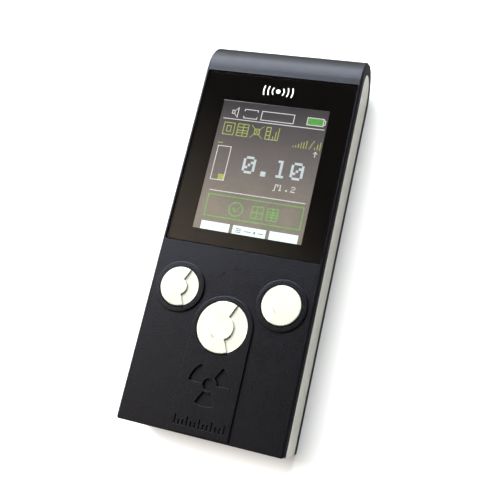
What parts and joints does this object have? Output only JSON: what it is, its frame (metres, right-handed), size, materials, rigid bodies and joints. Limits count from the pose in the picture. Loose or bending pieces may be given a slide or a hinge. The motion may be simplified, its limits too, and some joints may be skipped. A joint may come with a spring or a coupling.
{
  "type": "geiger counter",
  "caption": "Flat pocket geiger counter: rounded nose, smoked display window, round push keys, raised keypad strip with engraved trefoil, grey side bands, slide-off battery cover.",
  "frame": {"origin": "middle of the back face, which the instrument lies on", "axes": "+X to the right seen from the front, +Y along the case towards the rounded nose, +Z out of the front face"},
  "size_m": [0.043, 0.105, 0.0185],
  "materials": {
    "shell": "fine-textured charcoal black moulded plastic",
    "band": "satin warm grey moulded plastic",
    "window": "smoked glossy acrylic",
    "key": "satin off-white moulded plastic",
    "lcd": "colour display glass behind the window",
    "diffuser": "milky white moulded plastic",
    "polyimide": "amber film",
    "foam": "black adhesive foam",
    "board": "green solder resist on glass-fibre board",
    "resin": "black moulded component body",
    "steel": "pressed stainless sheet",
    "screw": "black-zinc plated steel",
    "nickel": "nickel-plated spring steel",
    "tube": "thin steel tube wall with a drawn satin finish",
    "ferrite": "dark sintered ferrite with lacquered winding",
    "sleeve": "dark blue heat-shrink sleeve",
    "cell_label": "printed foil label over a metal can"
  },
  "bodies": {
    "case": {"front_shell": "shell", "rear_shell": "shell", "side_band_left": "band", "side_band_right": "band", "display_window": "window", "window_adhesive": "foam", "lcd_panel": "lcd", "lcd_frame": "steel", "lcd_backlight": "diffuser", "lcd_flex": "polyimide", "flex_connector": "diffuser", "dome_left": "steel", "dome_right": "steel", "dome_centre": "steel", "main_board": "board", "geiger_tube": "tube", "tube_cap_nose": "nickel", "tube_cap_tail": "nickel", "tube_clip_nose": "nickel", "tube_clip_tail": "nickel", "hv_transformer": "ferrite", "hv_capacitor_1": "sleeve", "hv_capacitor_2": "sleeve", "microcontroller": "resin", "crystal": "steel", "buzzer": "resin", "usb_connector": "steel", "battery_1": "cell_label", "battery_2": "cell_label", "battery_spring_1": "nickel", "battery_spring_2": "nickel", "contact_plate_1": "nickel", "contact_plate_2": "nickel", "contact_plate_3": "nickel", "contact_plate_4": "nickel", "battery_insulator": "polyimide", "case_screw_1": "screw", "case_screw_2": "screw", "case_screw_3": "screw", "case_screw_4": "screw"},
    "button_left": {"button_left": "key"},
    "button_right": {"button_right": "key"},
    "button_centre": {"button_centre": "key"},
    "battery_cover": {"battery_cover": "shell"}
  },
  "joints": [
    {"name": "button_left_press", "type": "slide", "parent": "case", "child": "button_left", "axis": [0, 0, -1], "range_m": [0, 0.0005], "stiffness_N_per_m": 1200},
    {"name": "button_right_press", "type": "slide", "parent": "case", "child": "button_right", "axis": [0, 0, -1], "range_m": [0, 0.0005], "stiffness_N_per_m": 1200},
    {"name": "button_centre_press", "type": "slide", "parent": "case", "child": "button_centre", "axis": [0, 0, -1], "range_m": [0, 0.0005], "stiffness_N_per_m": 1200},
    {"name": "battery_cover_slide", "type": "slide", "parent": "case", "child": "battery_cover", "axis": [0, -1, 0], "range_m": [0, 0.06]}
  ]
}
